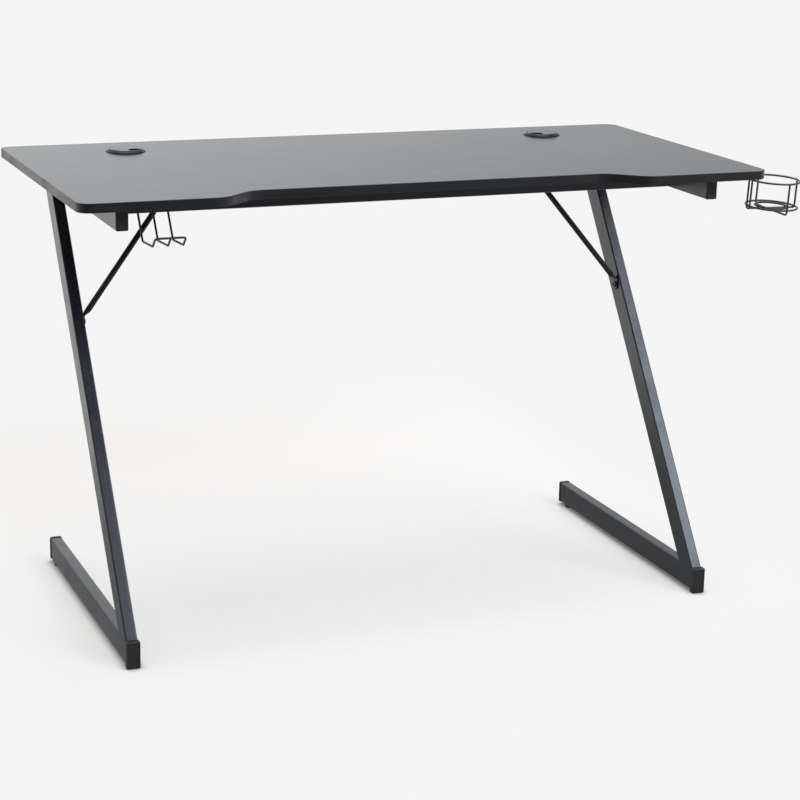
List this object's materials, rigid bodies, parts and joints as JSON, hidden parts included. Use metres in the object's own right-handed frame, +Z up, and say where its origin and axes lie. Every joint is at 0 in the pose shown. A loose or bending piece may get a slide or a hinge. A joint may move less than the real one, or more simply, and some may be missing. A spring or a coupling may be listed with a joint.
{
  "type": "gaming desk",
  "caption": "Black gaming desk with a waisted top on Z-shaped tube side frames, crossbars and slanting braces, turning cable grommets, a wire headset hook and a wire cup holder.",
  "frame": {"origin": "On the floor, at the middle of the plan of the whole desk with its cup holder.", "axes": "+X to the sitter's right along the desk's width, +Y to the back, away from the sitter, +Z up."},
  "size_m": [1.3036, 0.58, 0.7696],
  "materials": {
    "black_laminate": "chipboard with black satin laminate on both faces",
    "edge_plastic": "satin",
    "powder_coat": "satin black powder coat on steel tube",
    "cap_plastic": "fine grain",
    "glide_plastic": "matt",
    "grommet_plastic": "satin",
    "wire_coat": "satin black powder coat on steel wire",
    "black_steel": "black oxide",
    "zinc_steel": "zinc plated",
    "insert_brass": "plain"
  },
  "bodies": {
    "desk": {"board_inserts": "insert_brass", "brace_bolts": "black_steel", "brace_left": "powder_coat", "brace_right": "powder_coat", "brace_rivet_nuts": "zinc_steel", "crossbar_bolts": "black_steel", "crossbar_front": "powder_coat", "crossbar_front_plates": "powder_coat", "crossbar_rear": "powder_coat", "crossbar_rear_plates": "powder_coat", "crossbar_rivet_nuts": "zinc_steel", "cup_base_ring": "wire_coat", "cup_cross_wire": "wire_coat", "cup_hanger": "wire_coat", "cup_lower_ring": "wire_coat", "cup_screws": "zinc_steel", "cup_side_wire": "wire_coat", "cup_strap": "wire_coat", "cup_upper_ring": "wire_coat", "edge_band": "edge_plastic", "foot_front_cap_left": "cap_plastic", "foot_front_cap_right": "cap_plastic", "foot_left": "powder_coat", "foot_rear_cap_left": "cap_plastic", "foot_rear_cap_right": "cap_plastic", "foot_right": "powder_coat", "glide_nut_left": "zinc_steel", "glide_nut_right": "zinc_steel", "grommet_ring_left": "grommet_plastic", "grommet_ring_right": "grommet_plastic", "hook_middle_wire": "wire_coat", "hook_outer_wire": "wire_coat", "hook_screws": "zinc_steel", "hook_strap": "wire_coat", "leg_left": "powder_coat", "leg_right": "powder_coat", "rail_bolts": "black_steel", "rail_front_cap_left": "cap_plastic", "rail_front_cap_right": "cap_plastic", "rail_left": "powder_coat", "rail_rear_cap_left": "cap_plastic", "rail_rear_cap_right": "cap_plastic", "rail_right": "powder_coat", "tabletop": "black_laminate"},
    "grommet_cap_left": {"grommet_cap_left": "grommet_plastic"},
    "grommet_cap_right": {"grommet_cap_right": "grommet_plastic"},
    "glide_left": {"glide_left": "glide_plastic"},
    "glide_right": {"glide_right": "glide_plastic"}
  },
  "joints": [
    {"name": "turn_grommet_cap_left", "type": "hinge", "parent": "desk", "child": "grommet_cap_left", "pos_m": [-0.4518, 0.192, 0.765], "axis": [0, 0, 1], "continuous": true},
    {"name": "turn_grommet_cap_right", "type": "hinge", "parent": "desk", "child": "grommet_cap_right", "pos_m": [0.3482, 0.192, 0.765], "axis": [0, 0, 1], "continuous": true},
    {"name": "turn_glide_left", "type": "hinge", "parent": "desk", "child": "glide_left", "pos_m": [-0.5718, 0.245, 0], "axis": [0, 0, 1], "continuous": true},
    {"name": "turn_glide_right", "type": "hinge", "parent": "desk", "child": "glide_right", "pos_m": [0.4682, 0.245, 0], "axis": [0, 0, 1], "continuous": true}
  ]
}
